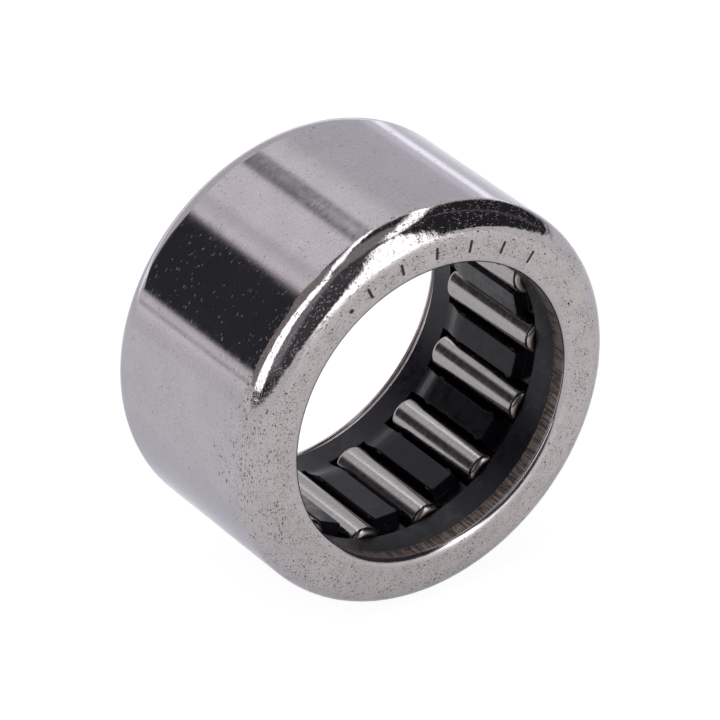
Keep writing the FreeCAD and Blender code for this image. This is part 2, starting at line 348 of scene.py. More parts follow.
def build_cup(settings):
    """The drawn cup: thick front lip with its torn bore, ground wall and folded back lip."""
    front, back, outer = CUP["front"], CUP["back"], CUP["outer"]
    bore, back_bore = CUP["front_bore"], CUP["back_bore"]
    back_inside, raceway = CUP["back_inside"], CUP["raceway"]
    torn_back = CUP["front_inside"]
    torn_front = torn_back - settings.sheared_width
    face_start, face_end = bore + settings.roll_width, outer - CUP["front_corner"]
    middle = (face_start + face_end) / 2
    fold = back - back_inside
    slope_back = back_inside - CUP["back_corner"] + fold - 0.2 * MM
    slope_front = slope_back - (outer - fold - raceway)
    face_rings, torn_rings, bend_rings = 18, 5, 10
    burr_edge, burr_root = bore - 0.004 * MM, torn_back - 0.035 * MM
    bend_edge = bore - 0.012 * MM
    corners = [(bore + 0.03 * MM, torn_back), (burr_edge, torn_back - 0.012 * MM), (burr_edge, burr_root)]
    corners += [(bore + 0.006 * MM, burr_root + (torn_front - burr_root) * (i + 1) / (torn_rings + 1))
                for i in range(torn_rings)]
    corners += [(bore, torn_front), (bend_edge, torn_front - 0.03 * MM)]
    corners += [(bend_edge + settings.roll_width * (1 - math.cos(t)),
                 front + settings.roll_depth * (1 - math.sin(t)))
                for t in steps_between(0, math.pi / 2, bend_rings)]
    corners += [(face_start + (face_end - face_start) * (i + 1) / (face_rings + 1), front)
                for i in range(face_rings)]
    corners += [
        (outer, front, CUP["front_corner"], 22),
        (outer, back, CUP["back_corner"], 10),
        (back_bore, back, 0.13 * MM, 4),
        (back_bore, back - 0.2 * MM),
        (back_bore + 0.02 * MM, back - 0.24 * MM),
        (back_bore + 0.02 * MM, back - 0.33 * MM),
        (back_bore, back - 0.36 * MM),
        (back_bore, back_inside, 0.08 * MM, 3),
        (outer - fold, back_inside, CUP["back_corner"] - fold, 5),
        (outer - fold, slope_back),
        (raceway, slope_front),
        (raceway, torn_back, 0.45 * MM, 4),
    ]
    corner_radius = outer - CUP["front_corner"]
    corner_along = front + CUP["front_corner"]
    scribe_lean, scribe_width = 1.30, 0.022
    dent_angle, dent_lean = math.radians(158), math.radians(27)
    dent_width, dent_height = 0.24 * MM, 0.20 * MM

    def shape(radius, along, angle):
        if radius < bore - 0.002 * MM and along > torn_back - 0.05 * MM:
            ragged = 0.5 + grain_at(angle, radius, 0, 0.22 * MM)
            ragged += 0.6 * grain_at(angle, radius, 0, 0.9 * MM)
            return radius - settings.burr * max(ragged, 0), along + 0.5 * settings.burr * ragged
        if radius < bore + 0.007 * MM and torn_front - 0.01 * MM < along < torn_back - 0.04 * MM:
            fine = grain_at(angle, radius, along, 0.11 * MM, 9)
            coarse = grain_at(angle, radius, along, 0.33 * MM, 4)
            chip = max(grain_at(angle, radius, along, 0.8 * MM, 0.6) - 0.25, 0)
            return radius + settings.sheared_depth * (0.5 + 0.6 * fine + 0.5 * coarse + chip), along
        if along < front + HAIR and radius < corner_radius:
            return radius, along + settings.tick_depth * mark_depth(settings, radius, angle, middle)
        if along < corner_along and radius > corner_radius:
            out, down = radius - corner_radius, corner_along - along
            lean = math.atan2(down, out)
            window = ramp(lean, 0, 0.25) * (1 - ramp(lean, 1.35, 1.57))
            wobble = 0.5 + 0.5 * grain_at(angle, outer, along, 1.6 * MM, 1.2)
            wobble += 0.45 * grain_at(angle, outer, along, 0.45 * MM)
            inwards = settings.corner_wobble * window * max(wobble, 0)
            inwards += settings.scribe_depth * math.exp(-((lean - scribe_lean) / scribe_width) ** 2)
            beside = math.remainder(angle - dent_angle, math.tau) * outer / dent_width
            over = (lean - dent_lean) * CUP["front_corner"] / dent_height
            inwards += settings.dent_depth * math.exp(-beside * beside - over * over)
            size = math.hypot(out, down)
            return (radius - inwards * out / size, along + inwards * down / size)
        return radius, along

    mesh = lathe("drawn_cup_shell", round_outline(corners), CUP_SEGMENTS, shape)
    marks = mesh.attributes.new("mark", "FLOAT", "POINT")
    depths = []
    for vertex in mesh.vertices:
        x, y, z = vertex.co
        on_face = front - HAIR < y < front + 1.2 * settings.tick_depth
        radius = math.hypot(x, z)
        if on_face and face_start < radius < face_end:
            depths.append(mark_depth(settings, radius, math.atan2(z, x), middle))
        else:
            depths.append(0.0)
    marks.data.foreach_set("value", depths)
    return finish_object("drawn_cup_shell", mesh)


class Patches:
    """Collects grids of points as quads; shared edges are merged at the end."""

    def __init__(self):
        self.bm = bmesh.new()

    def grid(self, rows, angle):
        c, s = math.cos(angle), math.sin(angle)
        made = [[self.bm.verts.new((x * c - z * s, y, x * s + z * c)) for x, y, z in row]
                for row in rows]
        for low, high in zip(made, made[1:]):
            for i in range(len(low) - 1):
                self.bm.faces.new((low[i], low[i + 1], high[i + 1], high[i]))

    def to_mesh(self, name):
        bmesh.ops.remove_doubles(self.bm, verts=self.bm.verts, dist=CAGE_MERGE)
        bmesh.ops.dissolve_degenerate(self.bm, edges=self.bm.edges, dist=HAIR)
        bmesh.ops.recalc_face_normals(self.bm, faces=self.bm.faces)
        return mesh_from(self.bm, name)


def steps_between(start, end, count):
    return [start + (end - start) * i / count for i in range(count + 1)]


def build_cage(settings):
    """One-piece cage: two plain rings, flat-topped bars with a ramp behind and a low web in front."""
    count = len(NEEDLE["angles"])
    half_pitch = math.pi / count
    wall = NEEDLE["radius"] + settings.pocket_side
    pocket_front = NEEDLE["front"] - settings.pocket_end
    pocket_back = NEEDLE["back"] + settings.pocket_end
    top = CAGE_BORE - settings.bar_rise
    web = CAGE_BORE + settings.web_drop
    top_front = pocket_front + settings.web_length
    foot = pocket_back - settings.ramp_start
    top_back = foot - settings.ramp_length
    across = steps_between(-1, 1, 8)
    gap = steps_between(0, 1, 6)
    side_rows = [8.7 * MM, 9.05 * MM]
    levels = [top, CAGE_BORE, web, *side_rows, CAGE_OUTER]

    def edge_angle(radius):
        return half_pitch - math.asin(wall / radius)

    def on_bar(radius, along, s):
        angle = s * edge_angle(radius)
        return (radius * math.cos(angle), along, radius * math.sin(angle))

    def on_top(along, s):
        half = top * math.tan(half_pitch) - wall / math.cos(half_pitch)
        return (top, along, s * half)

    def in_gap(radius, along, t):
        edge = edge_angle(radius)
        angle = edge + (2 * half_pitch - 2 * edge) * t
        return (radius * math.cos(angle), along, radius * math.sin(angle))

    def around(radius, along):
        return ([on_bar(radius, along, s) for s in across]
                + [in_gap(radius, along, t) for t in gap[1:]])

    def sloped(along, s):
        share_up = (foot - along) / settings.ramp_length
        low, high = on_bar(CAGE_BORE, along, s), on_top(along, s)
        return tuple(a + (b - a) * share_up for a, b in zip(low, high))

    web_rows = [[on_bar(web, y, s) for s in across] for y in steps_between(pocket_front, top_front, 3)]
    top_rows = [[on_top(y, s) for s in across] for y in steps_between(top_front, top_back, 10)]
    ramp_rows = [[sloped(y, s) for s in across] for y in steps_between(top_back, foot, 4)]
    foot_rows = [[on_bar(CAGE_BORE, y, s) for s in across] for y in steps_between(foot, pocket_back, 1)]
    wall_rows = web_rows + top_rows + ramp_rows[1:] + foot_rows[1:]
    skin = [[on_bar(CAGE_BORE, pocket_front, s) for s in across]] + wall_rows
    wall_along = sorted({row[0][1] for row in wall_rows})

    def side(rows, end):
        walls = []
        for row in rows:
            x, y, z = row[-1]
            inner = math.hypot(x, z)
            radii = [max(level, inner) for level in levels]
            radii[0] = inner
            walls.append([on_bar(radius, y, end) for radius in radii])
        return walls

    edge = settings.outer_edge
    rim = [(CAGE_OUTER - edge * (1 - math.sin(t)), edge * (1 - math.cos(t)))
           for t in steps_between(0, math.pi / 2, 5)]
    patches = Patches()
    for angle in NEEDLE["angles"]:
        middle = angle + half_pitch
        patches.grid(skin, middle)
        patches.grid([around(CAGE_BORE, y) for y in steps_between(CAGE_FRONT, pocket_front, 3)], middle)
        patches.grid([around(CAGE_BORE, y) for y in steps_between(pocket_back, CAGE_BACK, 2)], middle)
        for rows in (web_rows, wall_rows[len(web_rows):]):
            for end in (-1, 1):
                patches.grid(side(rows, end), middle)
        for y in (pocket_front, pocket_back):
            patches.grid([[in_gap(radius, y, t) for t in gap] for radius in levels[1:]], middle)
        patches.grid([[on_bar(CAGE_OUTER, y, s) for s in across] for y in wall_along], middle)
        front_rim = [around(radius, CAGE_FRONT + inset) for radius, inset in rim]
        back_rim = [around(radius, CAGE_BACK - inset) for radius, inset in rim]
        for ring_end, rounded, pocket in ((CAGE_FRONT, front_rim, pocket_front),
                                          (CAGE_BACK, back_rim, pocket_back)):
            patches.grid([around(CAGE_BORE, ring_end)] + rounded, middle)
            inner_end = rounded[-1][0][1]
            patches.grid([around(CAGE_OUTER, inner_end), around(CAGE_OUTER, pocket)], middle)
        add_nibs(patches, settings, angle, wall, top, top_front, top_back)
    mesh = patches.to_mesh("needle_cage_moulding")
    mesh.shade_smooth()
    mesh.set_sharp_from_angle(angle=SHARP_ANGLE)
    cage = finish_object("needle_cage_moulding", mesh)
    bevel = cage.modifiers.new("moulded_edges", "BEVEL")
    bevel.width = settings.edge_rounding
    bevel.segments = 3
    bevel.limit_method = "ANGLE"
    bevel.angle_limit = SHARP_ANGLE
    bevel.harden_normals = True
    return cage


def add_nibs(patches, settings, angle, wall, top, top_front, top_back):
    """Four snap nibs in one pocket: wedges on the bars' sides that narrow the way in."""
    starts = (top_front + settings.nib_inset, top_back - settings.nib_inset - settings.nib_length)
    root = wall + 0.05 * MM
    for start in starts:
        for side in (-1, 1):
            rows = []
            for i, share_in in enumerate((0.0, 1.0, 1.0, 0.0)):
                y = start + settings.nib_length * (0, 0.25, 0.75, 1)[i]
                reach = wall - settings.nib_reach * share_in
                rows.append([(top + 0.02 * MM, y, side * root), (top + 0.02 * MM, y, side * reach),
                             (top + settings.nib_height, y, side * (wall + 0.01 * MM)),
                             (top + settings.nib_height, y, side * root)])
            patches.grid(rows, angle)


def build_crumbs(settings):
    """Crumbs and whiskers of flash along the pockets' edges, where the mould closed."""
    rng = random.Random(CRUMB_SEED)
    bm = bmesh.new()
    pocket_front = NEEDLE["front"] - settings.pocket_end
    pocket_back = NEEDLE["back"] + settings.pocket_end
    wall = NEEDLE["radius"] + settings.pocket_side
    for angle in NEEDLE["angles"]:
        for i in range(settings.crumb_count):
            side = rng.choice((-1, 1))
            at_front = rng.random() < 0.6
            if at_front:
                radius = CAGE_BORE + settings.web_drop - 0.01 * MM
                along = pocket_front + rng.uniform(0.0, 1.0) * MM
            else:
                radius = CAGE_BORE - 0.01 * MM
                along = pocket_back - rng.uniform(0.0, 0.45) * MM
            out = math.asin(wall / radius) + rng.uniform(0.0, 0.012)
            place = angle + side * out
            size = settings.crumb_size * rng.uniform(0.5, 1.4)
            start = len(bm.verts)
            bmesh.ops.create_icosphere(bm, subdivisions=2, radius=size)
            bm.verts.ensure_lookup_table()
            turned = Matrix.Rotation(-place, 4, "Y")
            stretch = Vector((rng.uniform(0.5, 0.9), rng.uniform(0.8, 2.2), rng.uniform(0.5, 1.0)))
            for vertex in bm.verts[start:]:
                lump = 1 + 0.7 * noise.noise(vertex.co / size * 1.3 + Vector((i, angle, 3)))
                local = Vector(a * b for a, b in zip(vertex.co, stretch)) * lump
                vertex.co = turned @ (local + Vector((radius, along, 0)))
    mesh = mesh_from(bm, "cage_flash_crumbs")
    mesh.shade_smooth()
    return finish_object("cage_flash_crumbs", mesh)


def build_needle(settings, number, angle):
    """One needle at its place: straight side, rounded rims and faintly dished ends."""
    radius, front, back = NEEDLE["radius"], NEEDLE["front"], NEEDLE["back"]
    rim, dish = settings.end_rounding, settings.end_dish
    corners = [
        (0, front + dish),
        (0.25 * radius, front + dish),
        (0.55 * radius, front + 0.25 * dish),
        (radius, front, rim, 10),
        (radius, back, rim, 10),
        (0.55 * radius, back - 0.25 * dish),
        (0.25 * radius, back - dish),
        (0, back - dish),
    ]
    name = "needle_roller_%02d" % number
    mesh = lathe(name, round_outline(corners, closed=False), NEEDLE_SEGMENTS, closed=False)
    centre = Vector((math.cos(angle), 0, math.sin(angle))) * NEEDLE["circle"]
    mesh.transform(Matrix.Translation(centre))
    return finish_object(name, mesh)


# ---- shader nodes -----------------------------------------------------------

def add_node(tree, kind, inputs=None, **settings):
    """A node with its settings and its inputs, each a value or a socket to link."""
    made = tree.nodes.new(kind)
    for key, value in settings.items():
        setattr(made, key, value)
    for key, value in (inputs or {}).items():
        if isinstance(value, bpy.types.NodeSocket):
            tree.links.new(value, made.inputs[key])
        else:
            made.inputs[key].default_value = value
    return made


def calc(tree, operation, first, second=None, clamp=False):
    values = {0: first} if second is None else {0: first, 1: second}
    return add_node(tree, "ShaderNodeMath", values, operation=operation, use_clamp=clamp).outputs[0]


def plus(tree, first, *others):
    """Sum of values and sockets, in their order."""
    for other in others:
        first = calc(tree, "ADD", first, other)
    return first


def times(tree, first, *others):
    """Product of values and sockets, in their order."""
    for other in others:
        first = calc(tree, "MULTIPLY", first, other)
    return first


def vector_math(tree, operation, first, second, out=0):
    key = "Scale" if operation == "SCALE" else 1
    return add_node(tree, "ShaderNodeVectorMath", {0: first, key: second},
                    operation=operation).outputs[out]


def joined(tree, x, y, z=0.0):
    return add_node(tree, "ShaderNodeCombineXYZ", {0: x, 1: y, 2: z}).outputs[0]


def parted(tree, vector):
    return add_node(tree, "ShaderNodeSeparateXYZ", {0: vector}).outputs


def span(tree, value, low, high, to_low=0.0, to_high=1.0):
    """Smooth step of a value from one range to another."""
    values = {"Value": value, "From Min": low, "From Max": high, "To Min": to_low, "To Max": to_high}
    return add_node(tree, "ShaderNodeMapRange", values, interpolation_type="SMOOTHSTEP").outputs[0]


def blend_colours(tree, factor, first, second, how="MIX"):
    values = {"Factor": factor, 6: first, 7: second}
    return add_node(tree, "ShaderNodeMix", values, data_type="RGBA", blend_type=how).outputs[2]


def layered(tree, colour, *layers):
    """Colour under layers of (mask, colour)."""
    for mask, tone in layers:
        colour = blend_colours(tree, mask, colour, rgba(tone))
    return colour


def noise_node(tree, place, scale, detail=2.0, roughness=0.5):
    values = {"Vector": place, "Scale": scale, "Detail": detail, "Roughness": roughness}
    return add_node(tree, "ShaderNodeTexNoise", values).outputs["Fac"]


def new_group(name, inputs, outputs):
    """Empty shader node group: inputs are (name, default), a number or a vector, outputs are numbers."""
    group = bpy.data.node_groups.new(name, "ShaderNodeTree")
    for label, default in inputs:
        kind = "NodeSocketVector" if isinstance(default, tuple) else "NodeSocketFloat"
        socket = group.interface.new_socket(label, in_out="INPUT", socket_type=kind)
        socket.default_value = default
    for label in outputs:
        group.interface.new_socket(label, in_out="OUTPUT", socket_type="NodeSocketFloat")
    start = group.nodes.new("NodeGroupInput")
    end = group.nodes.new("NodeGroupOutput")
    return group, start.outputs, end.inputs


def place_in_mm(tree):
    """Place on the bearing in millimetres."""
    place = add_node(tree, "ShaderNodeTexCoord").outputs["Object"]
    return vector_math(tree, "SCALE", place, 1 / MM)


def ring_place_group():
    """Distance from the bearing's axis and place along it, in millimetres."""
    group, _, end = new_group("ring_place", [], ["Radius", "Along", "Angle"])
    parts = parted(group, place_in_mm(group))
    squares = plus(group, calc(group, "POWER", parts["X"], 2.0), calc(group, "POWER", parts["Z"], 2.0))
    group.links.new(calc(group, "SQRT", squares), end["Radius"])
    group.links.new(parts["Y"], end["Along"])
    angle = calc(group, "ARCTAN2", parts["Z"], parts["X"])
    group.links.new(calc(group, "DEGREES", angle), end["Angle"])
    return group


def pits_group():
    """Scattered small pits: irregular spots, longer round the ring than across it."""
    inputs = [("Scale", 3.0), ("Share", 0.3), ("Size", 0.25), ("Ragged", 0.15)]
    group, start, end = new_group("scattered_pits", inputs, ["Mask"])
    ring = grouped(group, "ring_place")
    place = joined(group, plus(group, ring["Radius"], ring["Along"]), times(group, ring["Angle"], 0.095))
    rough = add_node(group, "ShaderNodeTexNoise",
                     {"Vector": place, "Scale": 9.0, "Detail": 2.0}).outputs["Color"]
    centred = vector_math(group, "SUBTRACT", rough, (0.5, 0.5, 0.5))
    shifted = vector_math(group, "SCALE", centred, start["Ragged"])
    moved = vector_math(group, "ADD", place, shifted)
    cells = add_node(group, "ShaderNodeTexVoronoi", {"Vector": moved, "Scale": start["Scale"]},
                     voronoi_dimensions="2D")
    chance = add_node(group, "ShaderNodeSeparateColor", {0: cells.outputs["Color"]}).outputs
    kept = calc(group, "LESS_THAN", chance[0], start["Share"])
    size = times(group, start["Size"], calc(group, "POWER", chance[1], 0.7))
    inside = calc(group, "SUBTRACT", size, cells.outputs["Distance"])
    spot = calc(group, "MULTIPLY", inside, 14.0, clamp=True)
    group.links.new(times(group, spot, kept), end["Mask"])
    return group


def grind_group():
    """Fine lines round the axis, as grinding leaves them, with faint clouds."""
    inputs = [("Across", 16.0), ("Around", 0.7)]
    group, start, end = new_group("grinding_lines", inputs, ["Lines", "Clouds"])
    place = place_in_mm(group)
    parts = parted(group, place)
    stretched = joined(group, *(times(group, parts[axis], start[way])
                                for axis, way in (("X", "Around"), ("Y", "Across"), ("Z", "Around"))))
    group.links.new(noise_node(group, stretched, 1.0, 4.0, 0.65), end["Lines"])
    group.links.new(noise_node(group, place, 0.55, 3.0, 0.55), end["Clouds"])
    return group


def grain_group():
    """Even fine grain of a surface, at two sizes."""
    group, start, end = new_group("fine_grain", [("Scale", 12.0)], ["Fine", "Coarse"])
    place = place_in_mm(group)
    group.links.new(noise_node(group, place, start["Scale"], 3.0, 0.6), end["Fine"])
    wider = times(group, start["Scale"], 0.22)
    group.links.new(noise_node(group, place, wider, 2.0, 0.5), end["Coarse"])
    return group


def panel_group():
    """Soft-edged rectangle in azimuth and elevation, for the studio's lamps and walls."""
    inputs = [("Azimuth", 0.0), ("Elevation", 0.0), ("Centre", (0.0, 0.0, 0.0)),
              ("Half", (10.0, 10.0, 0.0)), ("Edge", 2.0)]
    group, start, end = new_group("soft_panel", inputs, ["Mask"])
    centre, half = parted(group, start["Centre"]), parted(group, start["Half"])
    sides = []
    for value, axis in ((start["Azimuth"], "X"), (start["Elevation"], "Y")):
        away = calc(group, "ABSOLUTE", calc(group, "SUBTRACT", value, centre[axis]))
        inside = calc(group, "SUBTRACT", half[axis], away)
        scaled = plus(group, calc(group, "DIVIDE", inside, start["Edge"]), 0.5)
        sides.append(span(group, scaled, 0.0, 1.0))
    group.links.new(calc(group, "MULTIPLY", *sides), end["Mask"])
    return group


def strip_group():
    """Soft-edged straight strip overhead, between two points of the ceiling's plane."""
    inputs = [("Place", (0.0, 0.0, 0.0)), ("Start", (0.0, 0.0, 0.0)), ("End", (1.0, 0.0, 0.0)),
              ("Half Width", 0.08), ("Edge", 0.03)]
    group, start, end = new_group("ceiling_strip", inputs, ["Mask"])
    run = vector_math(group, "SUBTRACT", start["End"], start["Start"])
    offset = vector_math(group, "SUBTRACT", start["Place"], start["Start"])
    along = calc(group, "DIVIDE", vector_math(group, "DOT_PRODUCT", offset, run, "Value"),
                 vector_math(group, "DOT_PRODUCT", run, run, "Value"), clamp=True)
    away = vector_math(group, "DISTANCE", offset, vector_math(group, "SCALE", run, along), "Value")
    inside = calc(group, "DIVIDE", calc(group, "SUBTRACT", start["Half Width"], away), start["Edge"])
    group.links.new(span(group, plus(group, inside, 0.5), 0.0, 1.0), end["Mask"])
    return group


GROUP_MAKERS = {
    "ring_place": ring_place_group,
    "scattered_pits": pits_group,
    "grinding_lines": grind_group,
    "fine_grain": grain_group,
    "soft_panel": panel_group,
    "ceiling_strip": strip_group,
}


def grouped(tree, name, inputs=None):
    """Outputs of a shared group placed in this tree with its own values; built at its first use."""
    group = bpy.data.node_groups.get(name) or GROUP_MAKERS[name]()
    return add_node(tree, "ShaderNodeGroup", inputs, node_tree=group).outputs


def new_material(name):
    material = bpy.data.materials.new(name)
    material.use_nodes = True
    tree = material.node_tree
    shader = tree.nodes["Principled BSDF"]
    return material, tree, shader


def rgba(colour):
    return (*colour, 1.0)


def coat(tree, shader, colour, rough, height, depth):
    """Give a surface its colour, its roughness and its fine relief."""
    tree.links.new(colour, shader.inputs["Base Color"])
    tree.links.new(rough, shader.inputs["Roughness"])
    relief = add_node(tree, "ShaderNodeBump", {"Height": height, "Distance": depth})
    tree.links.new(relief.outputs[0], shader.inputs["Normal"])


# Angles of the cup's worn side in degrees: its middle, and how far its core and its
# fading reach to both sides.
WORN_MIDDLE, WORN_CORE, WORN_END = -145.0, 45.0, 88.0


def cup_zones(tree):
    """Masks of the cup's differently worked surfaces, and of a band on the back lip's bore that is
    painted dark as a painted reflection.
    """
    place = grouped(tree, "ring_place")
    names = ("front", "back", "outer", "front_corner", "front_bore", "back_bore")
    front, back, outer, corner, bore, back_bore = (CUP[name] / MM for name in names)
    inner = outer - corner

    def out(low, high):
        return span(tree, place["Radius"], low, high)

    def along(low, high):
        return span(tree, place["Along"], low, high)

    turned = plus(tree, place["Angle"], -WORN_MIDDLE)
    turned = add_node(tree, "ShaderNodeMath", {0: turned, 1: 180.0, 2: -180.0},
                      operation="WRAP").outputs[0]
    worn_side = span(tree, calc(tree, "ABSOLUTE", turned), WORN_END, WORN_CORE)
    zones = {
        "front": along(front + 0.10, front + 0.02),
        "back": along(back - 0.16, back - 0.04),
        "side": out(outer - 0.02, outer - 0.004),
        "corner": times(tree, along(front + corner + 0.5, front + corner - 0.4),
                        out(inner - 0.25, inner + 0.1)),
        "bend": times(tree, out(bore + 0.55, bore + 0.35), along(front + 0.26, front + 0.20)),
        "torn": times(tree, out(bore + 0.10, bore + 0.04), along(front + 0.24, front + 0.30)),
        # Band on the back lip's bore that is painted dark: a painted reflection of shade, not torn metal.
        "back_lip_painted_reflection": times(tree, out(back_bore + 0.05, back_bore + 0.02),
                           along(back - 0.36, back - 0.32), along(back - 0.17, back - 0.21)),
    }
    zones["mid_face"] = times(tree, zones["front"], out(bore + 0.22, bore + 0.62),
                              out(inner + 0.12, inner - 0.22))
    zones["worn"] = times(tree, zones["corner"], worn_side)
    zones["worn_side"] = times(tree, zones["side"], worn_side,
                               along(front + corner + 2.2, front + corner + 0.2))
    zones["face"] = calc(tree, "MAXIMUM", zones["front"], zones["back"])
    return zones


# The cup's pits: cells per millimetre, size in cells, raggedness and darkness, then the
# share of the cells that hold a pit in each zone.
PITS = (
    (12.0, 0.44, 0.03, 0.45, {"front": 0.16, "mid_face": 0.80, "worn": 0.22, "corner": 0.22,
                              "side": 0.045, "worn_side": 0.10, "back": 0.2}),
    (6.4, 0.29, 0.06, 0.85, {"front": 0.03, "mid_face": 0.20, "worn": 0.32, "corner": 0.15,
                             "side": 0.008, "worn_side": 0.12, "back": 0.1}),
    (3.2, 0.18, 0.14, 1.0, {"front": 0.004, "mid_face": 0.015, "worn": 0.28, "corner": 0.07,
                            "side": 0.008, "worn_side": 0.09, "back": 0.04}),
)


def cup_pits(tree, zones):
    """Pits of every size, thicker in some places than in others."""
    patchy = span(tree, noise_node(tree, place_in_mm(tree), 1.3, 2.0), 0.35, 0.65, 0.35, 1.5)
    pits = 0.0
    for scale, size, ragged, darkness, shares in PITS:
        share_kept = plus(tree, *(times(tree, zones[name], part) for name, part in shares.items()))
        found = grouped(tree, "scattered_pits", {"Scale": scale, "Size": size, "Ragged": ragged,
                                                 "Share": times(tree, share_kept, patchy)})["Mask"]
        pits = calc(tree, "MAXIMUM", pits, times(tree, found, darkness))
    return pits


def cup_steel(settings):
    """Ground side, drawn polished corners, speckled face, torn brown bore edge, and a band on the back
    lip's bore painted dark as a painted reflection.
    """
    material, tree, shader = new_material("cup_drawn_steel")
    shader.inputs["Metallic"].default_value = 1.0
    shader.inputs["Specular Tint"].default_value = rgba(settings.edge_tint)
    zones = cup_zones(tree)
    side, corner, torn, face = (zones[name] for name in ("side", "corner", "torn", "face"))
    pits = cup_pits(tree, zones)
    lines = grouped(tree, "grinding_lines")
    fine = grouped(tree, "fine_grain", {"Scale": 11.0})
    furrows = grouped(tree, "grinding_lines", {"Across": 0.7, "Around": 10.0})["Lines"]
    # The furrows mask also takes in the back lip's band, so that band is painted dark as a painted
    # reflection.
    furrows = calc(tree, "MAXIMUM", times(tree, span(tree, furrows, 0.46, 0.56), torn),
                   zones["back_lip_painted_reflection"])
    mark = add_node(tree, "ShaderNodeAttribute", attribute_name="mark").outputs["Fac"]
    dark = calc(tree, "MAXIMUM", pits, span(tree, mark, 0.10, 0.45, 0.0, 0.97), clamp=True)

    # The last layer darkens the torn bore's furrows, and it paints the back lip's band dark as a painted
    # reflection.
    colour = layered(tree, rgba(settings.side_colour), (corner, settings.corner_colour),
                     (face, settings.face_colour), (torn, settings.sheared_colour),
                     (times(tree, furrows, 0.85), settings.furrow_and_painted_reflection_colour))
    mottle = times(tree, span(tree, fine["Fine"], 0.30, 0.70, 0.90, 1.06),
                   span(tree, lines["Clouds"], 0.3, 0.7, 0.97, 1.03),
                   span(tree, lines["Lines"], 0.3, 0.7, 0.975, 1.02))
    shade = add_node(tree, "ShaderNodeCombineColor", {0: mottle, 1: mottle, 2: mottle}).outputs[0]
    colour = blend_colours(tree, 1.0, colour, shade, "MULTIPLY")
    colour = layered(tree, colour, (dark, settings.pit_colour))
    rough = plus(tree, span(tree, side, 0.0, 1.0, settings.corner_roughness, settings.side_roughness),
                 times(tree, face, settings.face_roughness - settings.corner_roughness),
                 times(tree, torn, 0.40),
                 times(tree, zones["bend"], 0.06),
                 span(tree, fine["Coarse"], 0.3, 0.7, -0.02, 0.03),
                 span(tree, lines["Lines"], 0.3, 0.7, -0.02, 0.02))
    rough = calc(tree, "ADD", rough, times(tree, dark, 0.22), clamp=True)
    peel = grouped(tree, "fine_grain", {"Scale": 5.0})["Fine"]
    nicks = grouped(tree, "scattered_pits", {"Scale": 3.4, "Share": 0.16, "Size": 0.10, "Ragged": 0.5})
    height = plus(tree, times(tree, fine["Fine"], span(tree, face, 0.0, 1.0, 0.12, 1.0)),
                  times(tree, lines["Lines"], side, 0.16),
                  times(tree, peel, corner, 0.9),
                  times(tree, nicks["Mask"], corner, 0.8),
                  times(tree, pits, -2.5),
                  times(tree, furrows, -1.5))
    coat(tree, shader, colour, rough, height, 0.006 * MM)
    return material


def cage_plastic(settings):
    """Black moulded plastic: satin, faintly cloudy, with pale scuffs and dust."""
    material, tree, shader = new_material("cage_black_plastic")
    shader.inputs["Specular IOR Level"].default_value = 0.23
    shader.inputs["Specular Tint"].default_value = rgba(settings.gloss_tint)
    fine = grouped(tree, "fine_grain", {"Scale": 9.0})
    dust = grouped(tree, "scattered_pits", {"Scale": 2.2, "Share": 0.16, "Size": 0.075,
                                            "Ragged": 0.15})["Mask"]
    cloud = grouped(tree, "grinding_lines", {"Across": 1.2, "Around": 1.2})["Lines"]
    pale = tuple(min(c * 1.7 + 0.001, 1.0) for c in settings.colour)
    colour = layered(tree, rgba(settings.colour), (span(tree, cloud, 0.4, 0.75), pale),
                     (times(tree, dust, 0.55), settings.dust_colour))
    satin = span(tree, fine["Coarse"], 0.3, 0.7, settings.roughness - 0.05, settings.roughness + 0.07)
    rough = calc(tree, "ADD", satin, times(tree, dust, 0.3), clamp=True)
    height = plus(tree, fine["Fine"], times(tree, dust, 2.0))
    coat(tree, shader, colour, rough, height, 0.004 * MM)
    return material


def needle_steel(settings):
    """Fine-ground needles: sides whose steel tone is lowered as painted shade, and duller brownish ends
    that are also painted darker as a dark reflection of the cage.
    """
    material, tree, shader = new_material("needle_ground_steel")
    shader.inputs["Metallic"].default_value = 1.0
    shader.inputs["Specular Tint"].default_value = rgba(settings.edge_tint)
    along = grouped(tree, "ring_place")["Along"]
    front, back = NEEDLE["front"] / MM, NEEDLE["back"] / MM
    end = calc(tree, "MAXIMUM", span(tree, along, front + 0.12, front + 0.03),
               span(tree, along, back - 0.12, back - 0.03))
    lines = grouped(tree, "grinding_lines", {"Across": 22.0, "Around": 2.5})["Lines"]
    fine = grouped(tree, "fine_grain", {"Scale": 16.0})
    specks = grouped(tree, "scattered_pits", {"Scale": 3.0, "Share": 0.14, "Size": 0.08,
                                              "Ragged": 0.1})["Mask"]
    dull = tuple(c * 0.86 for c in settings.colour)
    # The side tone here carries painted shade, and the ends are painted darker as a dark reflection of
    # the cage.
    colour = layered(tree, rgba(dull), (span(tree, lines, 0.35, 0.7), settings.colour),
                     (end, settings.end_and_painted_reflection_colour), (times(tree, specks, 0.7), settings.speck_colour))
    ground = span(tree, fine["Coarse"], 0.3, 0.7, settings.roughness - 0.03, settings.roughness + 0.04)
    rough = calc(tree, "ADD", ground, times(tree, end, 0.16), clamp=True)
    height = plus(tree, times(tree, lines, 0.6), fine["Fine"])
    coat(tree, shader, colour, rough, height, 0.0005 * MM)
    return material


# ---- studio -----------------------------------------------------------------

